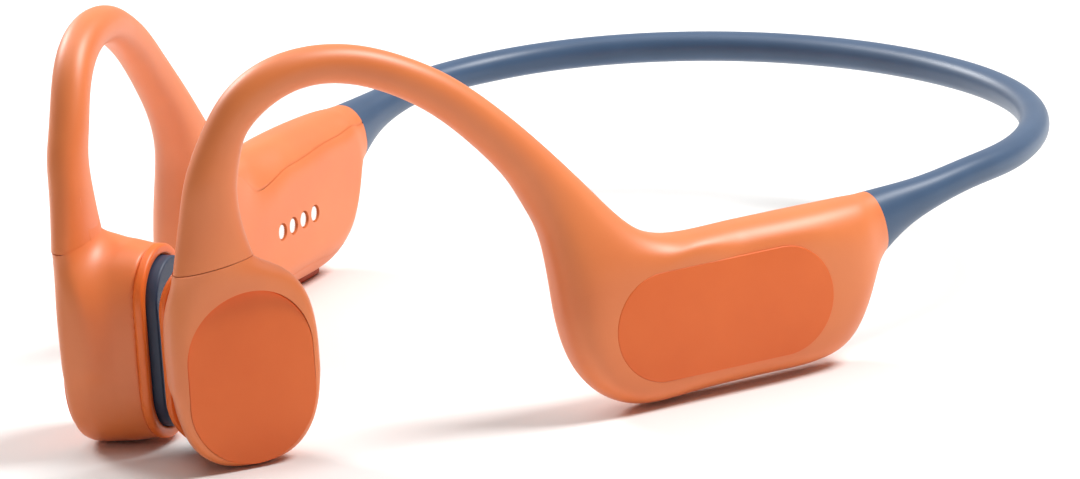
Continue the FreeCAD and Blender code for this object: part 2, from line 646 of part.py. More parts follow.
def build_key():
    """The left case's press key with its switch; the right case's fixed plate."""
    left = facet_frame(1)
    finish(slot_body("multifunction_key", left, "Sizes.facet_height - 2 * Sizes.button_gap",
                     "Sizes.facet_width - 2 * Sizes.button_gap", "Sizes.case_depth - Sizes.facet_thickness",
                     "Sizes.facet_thickness", True, "-Sizes.facet_drop"))
    finish(slot_body("right_speaker_plate", facet_frame(-1), "Sizes.facet_height - 2 * Sizes.fit_gap",
                     "Sizes.facet_width - 2 * Sizes.fit_gap", seatFloor,
                     "Sizes.facet_thickness + Sizes.key_travel + Sizes.key_clearance", True,
                     "-Sizes.facet_drop"))
    floor = size("case_depth") - size("facet_thickness") - size("key_travel") - size("key_clearance")
    switch = disc("key_switch", left, "2 * Sizes.switch_radius", "Sizes.switch_height",
                  vec(0, -size("facet_drop"), floor - size("switch_height") + 0.02))
    nodes.append(switch)
    well = Part.makeCylinder(size("switch_radius") + size("fit_gap"), 2, vec(0, -size("facet_drop"),
                             floor - size("switch_height")))
    well.Placement = left
    block("microphone", case_frame(1), "Sizes.mic_width", "Sizes.mic_height", "Sizes.mic_depth",
          vec(0, -size("chamber_height") / 2 + 0.25 + size("mic_height") / 2, 3.5))
    return [well]


def check_and_write():
    """Refuses a failed feature or an unsound solid, then writes one file for each node."""
    for thing in doc.Objects:
        if {"Invalid", "Error"} & set(thing.State):
            raise ValueError(thing.Label + " failed")
    for piece in nodes:
        if piece.Shape.isNull() or not piece.Shape.isValid() or not piece.Shape.Solids:
            raise ValueError(piece.Label + " is not a sound solid")
    os.makedirs("parts", exist_ok=True)
    for piece in nodes:
        piece.Shape.exportStep("parts/%s.step" % piece.Label)
        print(piece.Label, len(piece.Shape.Solids), round(piece.Shape.Volume, 2))


keyWells = build_key()
contactHoles = build_electronics()
for side, name in ((1, "left"), (-1, "right")):
    shell, cover = build_hook(side, name)
    case = build_case(side, name)
    if side < 0:
        shell = shell.cut(build_buttons(side))
        cover = cover.cut(contactHoles)
    else:
        case = case.cut(keyWells)
    keep(name + "_hook_shell", shell)
    keep(name + "_pod_inner_cover", cover)
    keep(name + "_speaker_case", case)
    build_pad(side, name)
    build_transducer(side, name)
build_neckband()
doc.recompute()
check_and_write()
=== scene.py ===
# Bone conduction headphones: hooked orange sides with cheek pads, and a navy neckband.
# Metres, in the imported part's own frame: X to the wearer's left, Y to the back, Z up.
import math

import bpy
import numpy as np
from mathutils import Matrix


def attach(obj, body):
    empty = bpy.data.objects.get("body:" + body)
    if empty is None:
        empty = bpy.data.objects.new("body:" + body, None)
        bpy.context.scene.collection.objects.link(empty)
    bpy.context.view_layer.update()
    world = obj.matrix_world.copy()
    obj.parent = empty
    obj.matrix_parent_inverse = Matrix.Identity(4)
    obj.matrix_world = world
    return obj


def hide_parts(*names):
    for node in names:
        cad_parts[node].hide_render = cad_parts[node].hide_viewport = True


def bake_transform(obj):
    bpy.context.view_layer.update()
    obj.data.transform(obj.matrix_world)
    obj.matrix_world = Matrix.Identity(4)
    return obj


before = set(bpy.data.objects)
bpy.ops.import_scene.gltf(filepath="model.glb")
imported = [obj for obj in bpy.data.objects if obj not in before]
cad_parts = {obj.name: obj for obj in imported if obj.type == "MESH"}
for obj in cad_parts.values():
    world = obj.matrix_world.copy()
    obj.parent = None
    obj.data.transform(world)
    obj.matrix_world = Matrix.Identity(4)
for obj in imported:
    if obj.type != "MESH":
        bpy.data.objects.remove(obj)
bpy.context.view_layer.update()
mm = 0.001
sides = {"left": 1, "right": -1}
print("frame loaded:", len(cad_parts), "nodes")


# ---- numbers and curves

def hexToLinear(code):
    # sRGB to linear: c / 12.92 below 0.04045, else ((c + 0.055) / 1.055) to the power 2.4
    channels = np.array([int(code[i:i + 2], 16) / 255 for i in (0, 2, 4)])
    curved = np.where(channels <= 0.04045, channels / 12.92, ((channels + 0.055) / 1.055) ** 2.4)
    return (*curved.tolist(), 1.0)


def splineThrough(knots, values, at):
    # natural cubic spline: one linear system gives the second derivative at every knot
    knots, values, at = np.asarray(knots, float), np.asarray(values, float), np.asarray(at, float)
    flat = values.reshape(len(knots), -1)
    gap = np.diff(knots)
    inner = np.arange(1, len(knots) - 1)
    system = np.eye(len(knots))
    system[inner, inner - 1] = gap[:-1]
    system[inner, inner] = 2 * (gap[:-1] + gap[1:])
    system[inner, inner + 1] = gap[1:]
    target = np.zeros_like(flat)
    target[1:-1] = 6 * np.diff(np.diff(flat, axis=0) / gap[:, None], axis=0)
    bend = np.linalg.solve(system, target)
    span = np.clip(np.searchsorted(knots, at, side="right") - 1, 0, len(knots) - 2)
    width = gap[span][:, None]
    before = (knots[span + 1] - at)[:, None] / width
    after = 1 - before
    out = before * flat[span] + after * flat[span + 1]
    out += ((before ** 3 - before) * bend[span] + (after ** 3 - after) * bend[span + 1]) * width ** 2 / 6
    return out.reshape((len(at),) + values.shape[1:])


def unit(v):
    # v divided by its own length, along the last axis
    return v / np.linalg.norm(v, axis=-1, keepdims=True)


def softMax(a, b, radius):
    # the larger of two, rounded over where they are closer than the radius
    share = np.clip(0.5 + 0.5 * (a - b) / radius, 0, 1)
    return b + (a - b) * share + radius * share * (1 - share)


def superRings(centre, up, across, halfHigh, halfWide, power, count):
    # centre + up halfHigh |cos|^(2/power) + across halfWide |sin|^(2/power), each with its sign;
    # a second power holds for the half that faces against the across direction
    turn = np.linspace(0, 2 * math.pi, count, endpoint=False)[None, :]
    power = np.asarray(power, float).reshape(len(centre), -1)
    power = np.where(np.sin(turn) < 0, power[:, -1:], power[:, :1])
    high = np.sign(np.cos(turn)) * np.abs(np.cos(turn)) ** (2 / power) * np.asarray(halfHigh)[:, None]
    wide = np.sign(np.sin(turn)) * np.abs(np.sin(turn)) ** (2 / power) * np.asarray(halfWide)[:, None]
    return centre[:, None] + up[:, None] * high[..., None] + across[:, None] * wide[..., None]


def alongRings(rings, step, stop=None):
    # fills in rings a step apart: every column of points runs along a spline through its stations
    chords = np.linalg.norm(np.diff(rings, axis=0), axis=2).mean(axis=1)
    knots = np.concatenate([[0], np.cumsum(chords)])
    first, last = (0, len(knots) - 1) if stop is None else stop
    count = max(8, int(round((knots[last] - knots[first]) / step)))
    return splineThrough(knots, rings, np.linspace(knots[first], knots[last], count + 1))


def stadium(length, width, count):
    # outline of a round-ended slot along x, anticlockwise, evenly spaced round its rim, with outward normals
    radius, half = width / 2, (length - width) / 2
    rim = 4 * half + 2 * math.pi * radius
    way = np.linspace(0, rim, count, endpoint=False)
    arc = math.pi * radius
    turn = np.where(way < arc, way / radius - math.pi / 2, math.pi / 2)
    turn = np.where(way >= arc + 2 * half, (way - arc - 2 * half) / radius + math.pi / 2, turn)
    turn = np.where(way >= 2 * arc + 2 * half, 1.5 * math.pi, turn)
    x = np.where(way < arc, half, np.where(way < arc + 2 * half, half - (way - arc), -half))
    x = np.where(way >= 2 * arc + 2 * half, -half + (way - 2 * arc - 2 * half), x)
    normal = np.stack([np.cos(turn), np.sin(turn)], axis=1)
    return np.stack([x, np.zeros(count)], axis=1) + normal * radius, normal


# ---- meshes

def finishMesh(name, points, faces):
    # points in millimetres; faces are turned outward if the signed volume comes out negative
    points = np.asarray(points, float).reshape(-1, 3) * mm
    mesh = bpy.data.meshes.new(name)
    mesh.from_pydata(points.tolist(), [], [list(map(int, f)) for f in faces])
    mesh.update()
    mesh.calc_loop_triangles()
    corners = np.empty(len(mesh.loop_triangles) * 3, np.int32)
    mesh.loop_triangles.foreach_get("vertices", corners)
    a, b, c = points[corners.reshape(-1, 3)].transpose(1, 0, 2)
    if np.einsum("ij,ij->i", a, np.cross(b, c)).sum() < 0:
        mesh.flip_normals()
    piece = bpy.data.objects.new(name, mesh)
    bpy.context.scene.collection.objects.link(piece)
    return smoothEdges(piece)


def smoothEdges(piece, sharpAngle=38):
    # smooth faces, with a crease kept wherever two of them meet at more than the angle
    piece.data.polygons.foreach_set("use_smooth", np.ones(len(piece.data.polygons), bool))
    piece.data.set_sharp_from_angle(angle=math.radians(sharpAngle))
    return piece


def ringMesh(name, rings):
    # neighbouring rings joined by four-sided faces, and the first and last ring closed
    rows, columns = rings.shape[:2]
    index = np.arange(rows * columns).reshape(rows, columns)
    after = np.roll(index, -1, axis=1)
    quads = np.stack([index[:-1], after[:-1], after[1:], index[1:]], axis=-1).reshape(-1, 4)
    return finishMesh(name, rings, quads.tolist() + [index[0][::-1].tolist(), index[-1].tolist()])


def frameOf(origin, outward, up=(0, 0, 1)):
    # rows of a local frame: x = up cross outward, y = up, z = outward
    outward, up = np.asarray(outward, float), np.asarray(up, float)
    return np.asarray(origin, float), np.stack([np.cross(up, outward), up, outward])


def place(local, frameRows):
    # local points turned into the frame and moved to its origin
    origin, axes = frameRows
    return origin + np.asarray(local) @ axes


def slotPiece(name, frameRows, length, width, profile, upright=False, count=192, shift=0.0, aside=0.0):
    # a profile of (inset, height) pairs carried round a slot's outline
    outline, normal = stadium(length, width, count)
    steps = np.asarray(profile, float)
    flat = outline[None] - normal[None] * steps[:, 0, None, None]
    if upright:
        flat = np.stack([aside - flat[..., 1], flat[..., 0] + shift], axis=-1)
    else:
        flat = flat + np.array([shift, 0.0])
    heights = np.broadcast_to(steps[:, 1, None, None], flat.shape[:2] + (1,))
    return ringMesh(name, place(np.concatenate([flat, heights], axis=-1), frameRows))


def roundedProfile(low, high, radius, lowRadius=0.0, steps=6):
    # a wall from low to high with a quarter round at the top, and one at the bottom if it is asked for
    turn = np.linspace(0, math.pi / 2, steps)
    top = np.stack([radius * (1 - np.cos(turn)), high - radius * (1 - np.sin(turn))], axis=1)
    bottom = np.array([[0.0, low]])
    if lowRadius:
        bottom = np.stack([lowRadius * (1 - np.cos(turn)), low + lowRadius * (1 - np.sin(turn))], axis=1)
        bottom = bottom[::-1]
    return np.concatenate([bottom, top])


def carve(piece, cutters, operation="DIFFERENCE"):
    # cuts each solid out of the piece, or keeps what they share, and makes the result its mesh
    for cutter in cutters:
        change = piece.modifiers.new("carve", "BOOLEAN")
        change.operation = operation
        change.solver = "EXACT"
        change.object = cutter
        solid = bpy.data.meshes.new_from_object(piece.evaluated_get(bpy.context.evaluated_depsgraph_get()))
        piece.modifiers.clear()
        piece.data = solid
        bpy.data.objects.remove(cutter)
    return smoothEdges(piece)


def show(piece, material, body, slot, *nodes):
    # gives a piece its finish and its body, and hides the nodes that it stands for; the slot is not used
    piece.data.materials.clear()
    piece.data.materials.append(material)
    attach(piece, body)
    if nodes:
        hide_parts(*nodes)
    return piece


# ---- materials

def addNode(tree, kind, settings=None, **links):
    # one node with its settings, and its inputs joined to other nodes' outputs
    node = tree.nodes.new(kind)
    for name, value in (settings or {}).items():
        if name in node.inputs:
            node.inputs[name].default_value = value
        else:
            setattr(node, name, value)
    for name, output in links.items():
        tree.links.new(output, node.inputs[name.replace("_", " ")])
    return node


def newMaterial(name, surface):
    # an empty material with one principled surface, and coordinates in metres
    material = bpy.data.materials.new(name)
    material.use_nodes = True
    tree = material.node_tree
    tree.nodes.clear()
    shader = addNode(tree, "ShaderNodeBsdfPrincipled", surface)
    addNode(tree, "ShaderNodeOutputMaterial", Surface=shader.outputs["BSDF"])
    spots = addNode(tree, "ShaderNodeTexCoord").outputs["Object"]
    return material, tree, shader, spots


def toneRamp(tree, shader, amount, shade, tone, low=0.0, high=1.0):
    # base colour: the shade below the low amount, the tone over the high one, and a mix between
    ramp = addNode(tree, "ShaderNodeValToRGB", Fac=amount)
    for element, position, code in zip(ramp.color_ramp.elements, (low, high), (shade, tone)):
        element.position = position
        element.color = hexToLinear(code)
    tree.links.new(ramp.outputs["Color"], shader.inputs["Base Color"])


def glossRange(tree, shader, amount, low, high):
    # roughness: low + (high - low) times the amount
    gloss = addNode(tree, "ShaderNodeMapRange", {"To Min": low, "To Max": high}, Value=amount)
    tree.links.new(gloss.outputs["Result"], shader.inputs["Roughness"])


def bumpFrom(tree, shader, height, strength, depth, invert=False):
    # normal: tilted by the slope of a height that spans the depth in millimetres
    bump = addNode(tree, "ShaderNodeBump", {"Strength": strength, "Distance": depth * mm, "invert": invert},
                   Height=height)
    tree.links.new(bump.outputs["Normal"], shader.inputs["Normal"])


def mouldedPolymer(name, tone, shade, rough, surface=None, grain=0.16, grainDepth=0.0035, patch=9.0):
    # a moulded plastic or rubber: tone drifts between two shades over centimetres, and a spark-eroded
    # mould's grain, a few tenths of a millimetre wide, breaks up the highlight
    material, tree, shader, spots = newMaterial(name, {"IOR": 1.5, **(surface or {})})
    drift = addNode(tree, "ShaderNodeTexNoise", {"Scale": 1 / (patch * mm), "Detail": 3.0}, Vector=spots)
    toneRamp(tree, shader, drift.outputs["Fac"], shade, tone, 0.3, 0.7)
    speck = addNode(tree, "ShaderNodeTexNoise", {"Scale": 1 / (grain * mm), "Detail": 2.0}, Vector=spots)
    glossRange(tree, shader, speck.outputs["Fac"], rough - 0.035, rough + 0.035)
    bumpFrom(tree, shader, speck.outputs["Fac"], 0.35, grainDepth)
    return material


def drawnMetal(name, tone, shade, rough, scratch=0.08, stretch=(1, 1, 14), surface=None):
    # a rolled, drawn or plated metal: fine lines, a scratch width apart and drawn out across the most
    # stretched axis, vary tone and gloss
    material, tree, shader, spots = newMaterial(name, {"Metallic": 1.0, **(surface or {})})
    turned = addNode(tree, "ShaderNodeMapping", {"Scale": stretch}, Vector=spots)
    lines = addNode(tree, "ShaderNodeTexNoise", {"Scale": 1 / (scratch * mm * max(stretch)), "Detail": 4.0},
                    Vector=turned.outputs["Vector"])
    toneRamp(tree, shader, lines.outputs["Fac"], shade, tone)
    glossRange(tree, shader, lines.outputs["Fac"], rough * 0.8, rough * 1.25)
    bumpFrom(tree, shader, lines.outputs["Fac"], 0.2, 0.002)
    return material


def woundCopper(name):
    # enamelled copper wire, 0.09 mm thick, wound in level turns: a wave of turns in the bump, and the same
    # wave paints shade into the grooves between turns in the colour
    surface = {"Metallic": 1.0, "Roughness": 0.28, "Coat Weight": 0.6}
    material, tree, shader, spots = newMaterial(name, surface)
    turnsAndGrooveShade = addNode(tree, "ShaderNodeTexWave", {"Scale": 1 / (0.18 * mm * 2 * math.pi), "Distortion": 0.3,
                                                "bands_direction": "X"}, Vector=spots)
    # painted shade: the ramp's dark end lies in the grooves between turns, the copper's own colour on their
    # crowns
    toneRamp(tree, shader, turnsAndGrooveShade.outputs["Fac"], "7A3A1C", "D98452")
    bumpFrom(tree, shader, turnsAndGrooveShade.outputs["Fac"], 0.5, 0.03)
    return material


def solderMask(name):
    # green lacquer over copper tracks: a brick pattern of tracks shows through, a little raised
    material, tree, shader, spots = newMaterial(name, {"Roughness": 0.3, "Coat Weight": 0.3})
    look = {"Scale": 1 / (1.4 * mm), "Mortar Size": 0.06, "Color1": hexToLinear("0E4A2A"),
            "Color2": hexToLinear("125734"), "Mortar": hexToLinear("2E8A55")}
    tracks = addNode(tree, "ShaderNodeTexBrick", look, Vector=spots)
    tree.links.new(tracks.outputs["Color"], shader.inputs["Base Color"])
    bumpFrom(tree, shader, tracks.outputs["Fac"], 0.4, 0.03, invert=True)
    return material


finishes = {
    # soft-touch silicone over polycarbonate: matt, with a wide pale highlight and a faint velvet edge
    "softTouchOrange": mouldedPolymer("softTouchOrange", "E97C36", "E3742F", 0.47,
                                      {"Specular IOR Level": 0.85, "Sheen Weight": 0.14,
                                       "Sheen Roughness": 0.5}),
    # satin moulded ABS, a shade deeper than the silicone round it
    "satinPlateOrange": mouldedPolymer("satinPlateOrange", "EB6E2A", "E56724", 0.5, grain=0.22),
    # moulded ABS with less colour in the way of the light: the lip looks the most saturated
    "lipOrange": mouldedPolymer("lipOrange", "F27628", "EE6E22", 0.42),
    # dyed silicone keypad rubber
    "keypadRed": mouldedPolymer("keypadRed", "B4471A", "A63E16", 0.5),
    # soft-touch navy silicone of the neckband
    "softTouchNavy": mouldedPolymer("softTouchNavy", "3B5676", "344E6D", 0.4,
                                    {"Sheen Weight": 0.12, "Sheen Roughness": 0.5}),
    # darker navy silicone of the cheek pads
    "padNavy": mouldedPolymer("padNavy", "2E3C55", "293750", 0.5),
    "gasketRubber": mouldedPolymer("gasketRubber", "17181C", "111215", 0.62),
    "cableJacket": mouldedPolymer("cableJacket", "1B1C20", "141518", 0.5),
    "chipResin": mouldedPolymer("chipResin", "1A1A1D", "141416", 0.55, grain=0.08),
    "contactSilver": drawnMetal("contactSilver", "F4F2EE", "E4E2DE", 0.22, stretch=(1, 1, 1)),
    "titaniumWire": drawnMetal("titaniumWire", "B9B4AE", "9C9893", 0.34),
    "springSteel": drawnMetal("springSteel", "C9C9C9", "AFAFB1", 0.27),
    "yokeSteel": drawnMetal("yokeSteel", "9C9CA0", "83848A", 0.36),
    "magnetNickel": drawnMetal("magnetNickel", "CFCBC3", "B7B3AC", 0.18, stretch=(1, 1, 1)),
    "cellFoil": drawnMetal("cellFoil", "D5D7DB", "BFC2C8", 0.33, scratch=0.3, stretch=(1, 1, 1)),
    "copperWinding": woundCopper("copperWinding"),
    "solderMaskGreen": solderMask("solderMaskGreen"),
}
print("materials made:", len(finishes))


# ---- hook and pod shells

hook = {
    "step": 0.4,          # mm between rings
    "columns": 144,       # points round a ring
    "outerPlane": 4.5,    # flat outer face, from the pod's middle plane
    "innerPlane": -4.33,  # flat inner face of the cover
    "edgeRadius": 0.7,    # how widely the flat faces run into the round sides
    "seam": (-3.76, -3.86),   # the shell ends at one and the cover starts at the other
    "podFront": -20.5,    # the flattened stretch, along the pod and above its middle
    "podBack": 39.5,
    "podTop": 12.0,
    "fade": 2.0,          # over which the flattening comes in
    "clear": 8.0,         # a height that is clear of the pod's skin
}
# x, inner edge y and z, outer edge y and z, half thickness and heading of each section, and how
# square it is on its outer side and on the side by the head; from the front seam over the ear to
# the neckband seam
hookStations = np.array([
    (10.9, -55.8, 24.5, -64.8, 23.5, 2.2, 21.0, 2.15, 2.15),
    (11.1, -57.1, 29.2, -63.5, 30.4, 2.2, 23.0, 2.15, 2.15),
    (11.4, -57.4, 32.9, -62.8, 33.8, 2.2, 25.0, 2.15, 2.15),
    (11.8, -56.8, 36.3, -61.5, 37.0, 2.2, 27.0, 2.15, 2.15),
    (12.9, -55.8, 39.0, -58.8, 42.2, 2.2, 28.5, 2.15, 2.15),
    (14.3, -53.9, 41.0, -56.1, 45.1, 2.2, 29.0, 2.15, 2.15),
    (16.1, -51.0, 42.5, -52.4, 46.8, 2.2, 29.0, 2.15, 2.15),
    (19.6, -45.3, 42.3, -44.8, 46.7, 2.2, 29.0, 2.15, 2.15),
    (22.3, -41.2, 40.4, -39.7, 44.6, 2.2, 28.5, 2.15, 2.15),
    (24.6, -37.2, 37.4, -35.0, 41.5, 2.25, 28.0, 2.15, 2.15),
    (26.6, -33.6, 33.6, -30.5, 37.3, 2.3, 26.0, 2.15, 2.15),
    (28.5, -29.8, 28.6, -25.5, 31.8, 2.6, 23.5, 2.15, 2.15),
    (29.9, -28.0, 24.8, -21.1, 26.4, 3.0, 21.0, 2.2, 2.2),
    (31.1, -26.9, 21.1, -17.9, 22.3, 3.6, 19.0, 2.4, 2.2),
    (32.2, -26.5, 15.2, -14.9, 19.8, 4.3, 17.8, 2.6, 2.15),
    (32.9, -26.2, 10.5, -12.6, 19.1, 4.7, 17.5, 2.8, 2.1),
    (33.8, -24.8, 5.5, -10.8, 19.0, 5.0, 17.5, 3.0, 2.1),
    (34.6, -21.8, 2.0, -9.3, 19.0, 5.2, 17.5, 3.0, 2.1),
    (36.3, -11.4, 0.5, -5.1, 18.9, 5.2, 17.5, 3.0, 2.1),
    (38.5, -0.3, 0.7, -1.9, 18.9, 5.2, 17.5, 3.0, 2.1),
    (40.0, 4.6, 0.9, 4.2, 18.8, 5.2, 17.3, 3.0, 2.1),
    (41.1, 9.0, 2.6, 8.9, 18.7, 4.8, 16.0, 2.8, 2.0),
    (41.6, 11.4, 6.0, 11.0, 18.6, 4.2, 14.5, 2.6, 2.1),
    (42.0, 14.0, 10.3, 12.8, 18.5, 3.1, 12.5, 2.3, 2.2),
    (42.1, 15.0, 11.1, 13.8, 18.5, 2.8, 12.0, 2.2, 2.2)])


def hookRings(side, rows, count):
    # the sections at some stations: each leans with its heading and stands across its two edges
    x, innerY, innerZ, outerY, outerZ, halfThick, heading = hookStations[rows, :7].T
    turn = np.radians(heading)
    across = outerY - innerY
    rise = np.stack([side * across * np.tan(turn), across, outerZ - innerZ], axis=1)
    centre = np.stack([side * x, (innerY + outerY) / 2, (innerZ + outerZ) / 2], axis=1)
    sideways = np.stack([side * np.cos(turn), -np.sin(turn), np.zeros(len(x))], axis=1)
    half = np.linalg.norm(rise, axis=1) / 2
    return superRings(centre, unit(rise), sideways, half, halfThick, hookStations[rows, 7:], count)


def podFrame(side):
    # middle plane of a pod: x along it, y up, z away from the head
    turn = math.radians(17.5)
    return frameOf((side * 36.4, -8.0, 9.6), (side * math.cos(turn), -math.sin(turn), 0))


def hookSkin(name, side):
    # the whole hook and pod, with the pod's two broad faces flattened and their edges rounded over
    rings = alongRings(hookRings(side, slice(None), hook["columns"]), hook["step"])
    origin, axes = podFrame(side)
    local = (rings - origin) @ axes.T
    behind = np.clip((side * local[..., 0] - hook["podFront"]) / hook["fade"], 0, 1)
    inPod = behind * np.clip((hook["podTop"] - local[..., 1]) / hook["fade"], 0, 1)
    flat = -softMax(-local[..., 2], -hook["outerPlane"], hook["edgeRadius"])
    flat = softMax(flat, hook["innerPlane"], hook["edgeRadius"] * 0.6)
    local[..., 2] += (flat - local[..., 2]) * inPod
    return ringMesh(name, place(local, (origin, axes)))


def podSlab(side, low, high):
    # a box across the pod between two heights over its middle plane
    front, back, top = hook["podFront"], hook["podBack"], hook["podTop"]
    corners = np.array([(front, -top), (back, -top), (back, top), (front, top)])
    rings = [np.column_stack([corners * (side, 1), np.full(4, height)]) for height in (low, high)]
    return ringMesh("slab", place(np.array(rings), podFrame(side)))


plate = {"length": 28.3, "width": 12.8, "thickness": 1.0, "gap": 0.02, "edge": 0.12, "proud": 0.03}
hollow = {"length": 28.0, "width": 11.2, "top": 2.6, "shift": 0.5}
contacts = {"diameter": 2.0, "pitch": 2.8, "count": 4, "along": -3.7, "level": -0.4, "face": -4.15,
            "depth": 2.2, "edge": 0.22, "gap": 0.06}


def podSlot(name, side, size, profile, shift=0.0):
    # a profile carried round a slot that lies along the pod
    return slotPiece(name, podFrame(side), size["length"], size["width"], profile, shift=side * shift)


def roundPin(name, frameRows, centre, radius, profile, count=40):
    # a profile of (inset, height) pairs turned about an axis parallel to the frame's z
    turn = np.linspace(0, 2 * math.pi, count, endpoint=False)
    steps = np.asarray(profile, float)
    reach = (radius - steps[:, 0])[:, None]
    local = np.stack([centre[0] + reach * np.cos(turn), centre[1] + reach * np.sin(turn),
                      np.broadcast_to(steps[:, 1, None], (len(steps), count))], axis=-1)
    return ringMesh(name, place(local, frameRows))


def contactSpots():
    # the contacts' centres: a pitch apart, half of them on each side of the row's middle
    places = (np.arange(contacts["count"]) - (contacts["count"] - 1) / 2) * contacts["pitch"]
    return [(contacts["along"] + spot, contacts["level"]) for spot in places]


def buildPod(name, side):
    # skin less the slab by the head, the hollow and the plate's seat; the cover is the skin in that slab
    body = name + "_side"
    clear = hook["clear"]
    shell = hookSkin(name + "_hook_skin", side)
    seat = {"length": plate["length"] - plate["gap"], "width": plate["width"] - plate["gap"]}
    floor = hook["outerPlane"] - plate["thickness"]
    cutters = [podSlab(side, -hook["podTop"], hook["seam"][0]),
               podSlot("hollow", side, hollow, [(0, -clear), (0, hollow["top"])], hollow["shift"]),
               podSlot("seat", side, seat, [(0, floor - plate["gap"]), (0, clear)])]
    if side < 0:
        cutters += [buttonSlot("guide", spot, volume["gap"], [(0, -volume["guide"]), (0, volume["clear"])])
                    for spot in volume["places"]]
    show(carve(shell, cutters), finishes["softTouchOrange"], body, "shell_silicone", name + "_hook_shell")
    cover = carve(hookSkin(name + "_pod_cover", side), [podSlab(side, -hook["podTop"], hook["seam"][1])],
                  "INTERSECT")
    if side < 0:
        radius = contacts["diameter"] / 2 + contacts["gap"]
        wells = [roundPin("well", podFrame(side), spot, radius, [(0, -clear), (0, 0)])
                 for spot in contactSpots()]
        cover = carve(cover, wells)
    show(cover, finishes["softTouchOrange"], body, "shell_silicone", name + "_pod_inner_cover")
    top = hook["outerPlane"] + plate["proud"]
    disc = podSlot(name + "_outer_plate", side,
                   {"length": plate["length"] - 2 * plate["gap"], "width": plate["width"] - 2 * plate["gap"]},
                   roundedProfile(floor, top, plate["edge"]))
    show(disc, finishes["satinPlateOrange"], body, "plate_plastic", name + "_pod_outer_plate")


# ---- volume buttons and charging contacts, on the right pod

volume = {"length": 6.0, "width": 2.4, "edge": 0.45, "flangeMargin": 0.5, "flange": 0.6,
          "tip": -9.6,        # mm, height of the tip over the pod's middle
          "shoulder": -2.1,   # under the tip, as the rest
          "guide": 3.1, "clear": 1.0, "gap": 0.1,
          "names": ("volume_up", "volume_down"), "places": (11.5, 3.0)}


def buttonSlot(name, spot, gap, profile):
    # a slot on the underside of the right pod, with z pointing down from the button's tip
    origin, axes = podFrame(-1)
    base = place((-spot, volume["tip"], 0), (origin, axes))
    rows = frameOf(base, (0, 0, -1), -axes[2])
    return slotPiece(name, rows, volume["length"] + 2 * gap, volume["width"] + 2 * gap, profile)


def buildButtons():
    # a wide flange that can't fall out, then the cap's wall with its rounded tip
    margin, shoulder = volume["flangeMargin"], volume["shoulder"]
    for name, spot in zip(volume["names"], volume["places"]):
        profile = [(-margin, shoulder - volume["flange"]), (-margin, shoulder), (0, shoulder)]
        profile += roundedProfile(shoulder, 0, volume["edge"]).tolist()[1:]
        cap = buttonSlot(name + "_cap", spot, 0.0, profile)
        show(cap, finishes["keypadRed"], name, "button_silicone", name + "_button")


def buildContacts():
    # a rounded pin at each spot, turned over so that its rounded face is towards the head
    rows = podFrame(-1)
    face = contacts["face"]
    profile = roundedProfile(-face - contacts["depth"], -face, contacts["edge"]) * (1, -1)
    for index, spot in enumerate(contactSpots()):
        pin = roundPin("charging_pin_%d" % (index + 1), rows, spot, contacts["diameter"] / 2, profile)
        show(pin, finishes["contactSilver"], "right_side", "contact_metal",
             *(["charging_contacts"] if index == 0 else []))


for sideName, side in sides.items():
    buildPod(sideName, side)
buildButtons()
buildContacts()
print("hooks and pods made")


# ---- speaker cases

case = {
    "centre": (4.2, -54.7, 11.7), "angle": 21.8, "depth": 9.3, "front": 0.5,
    "rayStart": (-0.5, 0.5, 5.2),   # mm, a point inside that sees the whole skin
    "seamGap": 0.1, "rows": 170, "columns": 168, "blend": 2.2,
    "outerRounding": 0.8 * 2.4, "rimRounding": 0.4,
    "neckFrom": -2.0, "neckFade": 2.0,   # the neck starts at this height, over this much
    "crowding": 1.35,   # draws the rows of points towards the seam
    "reach": 24.0, "halvings": 36, "clear": 14.5,
    # depth over the rim, half width, half height, middle's height and place back, roundness of the body
    "body": np.array([(-1.0, 5.9, 10.95, 0.0, 0.0, 2.9), (0.5, 5.9, 10.95, 0.0, 0.0, 2.9),
                      (3.1, 6.7, 11.4, 0.0, 0.0, 2.8), (6.2, 8.1, 11.6, 0.0, 0.25, 2.7),
                      (8.2, 8.8, 11.6, 0.0, 0.5, 2.6), (9.3, 8.9, 11.5, -0.1, 0.5, 2.6),
                      (11.0, 8.9, 11.4, -0.1, 0.5, 2.6)]),
    # height, middle along the case, middle's depth, half width, half thickness, roundness of the neck
    "neck": np.array([(-4.0, 0.0, 6.2, 7.6, 2.0, 2.5), (4.0, -0.3, 6.7, 7.9, 2.5, 2.5),
                      (8.3, -0.9, 7.4, 7.2, 2.5, 2.4), (10.4, -1.7, 7.95, 6.0, 2.4, 2.3),
                      (12.3, -2.71, 8.3, 4.85, 2.2, 2.15), (15.0, -2.9, 8.45, 4.6, 2.2, 2.15)]),
}
facet = {"height": 20.2, "width": 15.4, "drop": 1.15, "back": 0.5, "thickness": 1.0, "travel": 0.25,
         "clearance": 0.1, "gap": 0.04, "edge": 0.14, "proud": 0.02}
chamber = {"height": 18.6, "width": 8.8, "depth": 6.3, "start": -2.0}
rim = {"height": 22.4, "width": 12.4, "depth": 1.2, "proud": 0.7, "lip": 1.25, "corner": 0.4,
       "heelInset": 0.25, "heel": 0.3}
pad = {"proud": 1.2, "gap": 0.08, "gasket": 0.6, "gasketWidth": 1.4, "edge": 0.3, "flat": (0.75, 0.9)}


def caseFrame(side):
    # rim plane of a speaker case: y up, z away from the head, x to the back on the left side
    turn = math.radians(case["angle"])
    x, y, z = case["centre"]
    return frameOf((side * x, y, z), (side * math.cos(turn), -math.sin(turn), 0))


def ovalDistance(a, b, halfA, halfB, power):
    # nearly the distance to a superellipse: (norm - 1) over the norm's own slope
    a, b = np.abs(a) + 1e-6, np.abs(b) + 1e-6
    norm = ((a / halfA) ** power + (b / halfB) ** power) ** (1 / power)
    slope = np.hypot((a / halfA) ** (power - 1) / halfA, (b / halfB) ** (power - 1) / halfB)
    return (norm - 1) / (slope * norm ** (1 - power))


